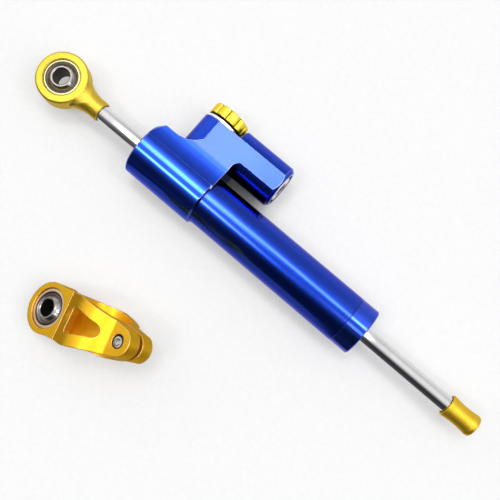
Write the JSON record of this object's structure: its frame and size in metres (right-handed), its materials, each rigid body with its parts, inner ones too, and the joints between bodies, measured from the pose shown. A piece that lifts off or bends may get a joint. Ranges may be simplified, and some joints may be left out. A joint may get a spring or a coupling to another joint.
{
  "type": "motorcycle steering damper",
  "caption": "Oil damper with a through rod, spherical rod eye, side reservoir with adjuster knob, rod-end bumper, and a separate split clamp with its own spherical bearing.",
  "frame": {"origin": "centre of the spherical bearing in the rod eye", "axes": "+X along the rod from the rod eye to the bumper, +Y towards the reservoir and knob, +Z along the bore of the rod eye, up when the damper lies as pictured"},
  "size_m": [0.3265, 0.1691, 0.0454],
  "materials": {
    "blue_anodised": "blue anodised, glossy",
    "gold_anodised": "gold anodised, satin",
    "gold_satin": "gold anodised, finely brushed",
    "chromed_rod": "hard chrome, mirror",
    "bearing_steel": "ground and polished steel",
    "steel": "satin stainless steel",
    "dark_steel": "phosphated spring steel",
    "plain_aluminium": "clear anodised, satin",
    "bronze": "sintered bronze",
    "brass": "turned brass",
    "guide_plastic": "filled fluoroplastic",
    "rubber": "nitrile rubber"
  },
  "bodies": {
    "damper_body": {"head_block": "blue_anodised", "damper_tube": "blue_anodised", "inner_tube": "steel", "end_cap": "blue_anodised", "rod_bushes": "bronze", "rod_seals": "rubber", "rod_wipers": "rubber", "tube_o_rings": "rubber", "valve_seat": "brass", "adjuster_gland": "plain_aluminium", "end_plug": "plain_aluminium", "plug_o_ring": "rubber", "plug_circlip": "dark_steel", "fill_screw": "brass"},
    "guide_ring": {"piston_guide_ring": "guide_plastic"},
    "rod": {"piston_rod": "chromed_rod", "piston": "plain_aluminium", "piston_clips": "dark_steel", "rod_eye": "gold_anodised", "rod_eye_race": "bearing_steel", "bumper": "gold_anodised"},
    "eye_ball": {"rod_eye_ball": "bearing_steel"},
    "adjuster": {"adjuster_knob": "gold_anodised", "adjuster_stem": "steel", "stem_o_ring": "rubber", "knob_screw": "steel"},
    "valve_needle": {"needle": "brass"},
    "oil_piston": {"floating_piston": "plain_aluminium", "floating_piston_seal": "rubber"},
    "clamp": {"clamp_bracket": "gold_satin", "clamp_race": "bearing_steel", "pinch_screw": "steel"},
    "clamp_ball_body": {"clamp_ball": "bearing_steel"}
  },
  "joints": [
    {"name": "rod_slide", "type": "slide", "parent": "damper_body", "child": "guide_ring", "axis": [1, 0, 0], "range_m": [-0.0608, 0.0325]},
    {"name": "rod_turn", "type": "hinge", "parent": "guide_ring", "child": "rod", "pos_m": [0.162, 0, 0], "axis": [1, 0, 0], "continuous": true},
    {"name": "eye_ball_tilt", "type": "hinge", "parent": "rod", "child": "eye_ball", "pos_m": [0, 0, 0], "axis": [0, 1, 0], "range_deg": [-12, 12]},
    {"name": "knob_turn", "type": "hinge", "parent": "damper_body", "child": "adjuster", "pos_m": [0.091, 0.045, 0], "axis": [0, 1, 0], "range_deg": [-450, 450]},
    {"name": "needle_lift", "type": "slide", "parent": "adjuster", "child": "valve_needle", "axis": [0, 1, 0], "range_m": [-0.00088, 0.00088]},
    {"name": "oil_piston_slide", "type": "slide", "parent": "damper_body", "child": "oil_piston", "axis": [1, 0, 0], "range_m": [-0.005, 0.01]},
    {"name": "clamp_lift", "type": "slide", "parent": "damper_body", "child": "clamp", "axis": [0, 0, 1], "range_m": [0, 0.1]},
    {"name": "clamp_ball_tilt", "type": "hinge", "parent": "clamp", "child": "clamp_ball_body", "pos_m": [0.0877, -0.1046, -0.00374], "axis": [-0.2974, 0.9548, 0], "range_deg": [-12, 12]}
  ],
  "couplings": [
    {"joint": "needle_lift", "follows": "knob_turn", "m_per_rad": 0.00011141}
  ]
}
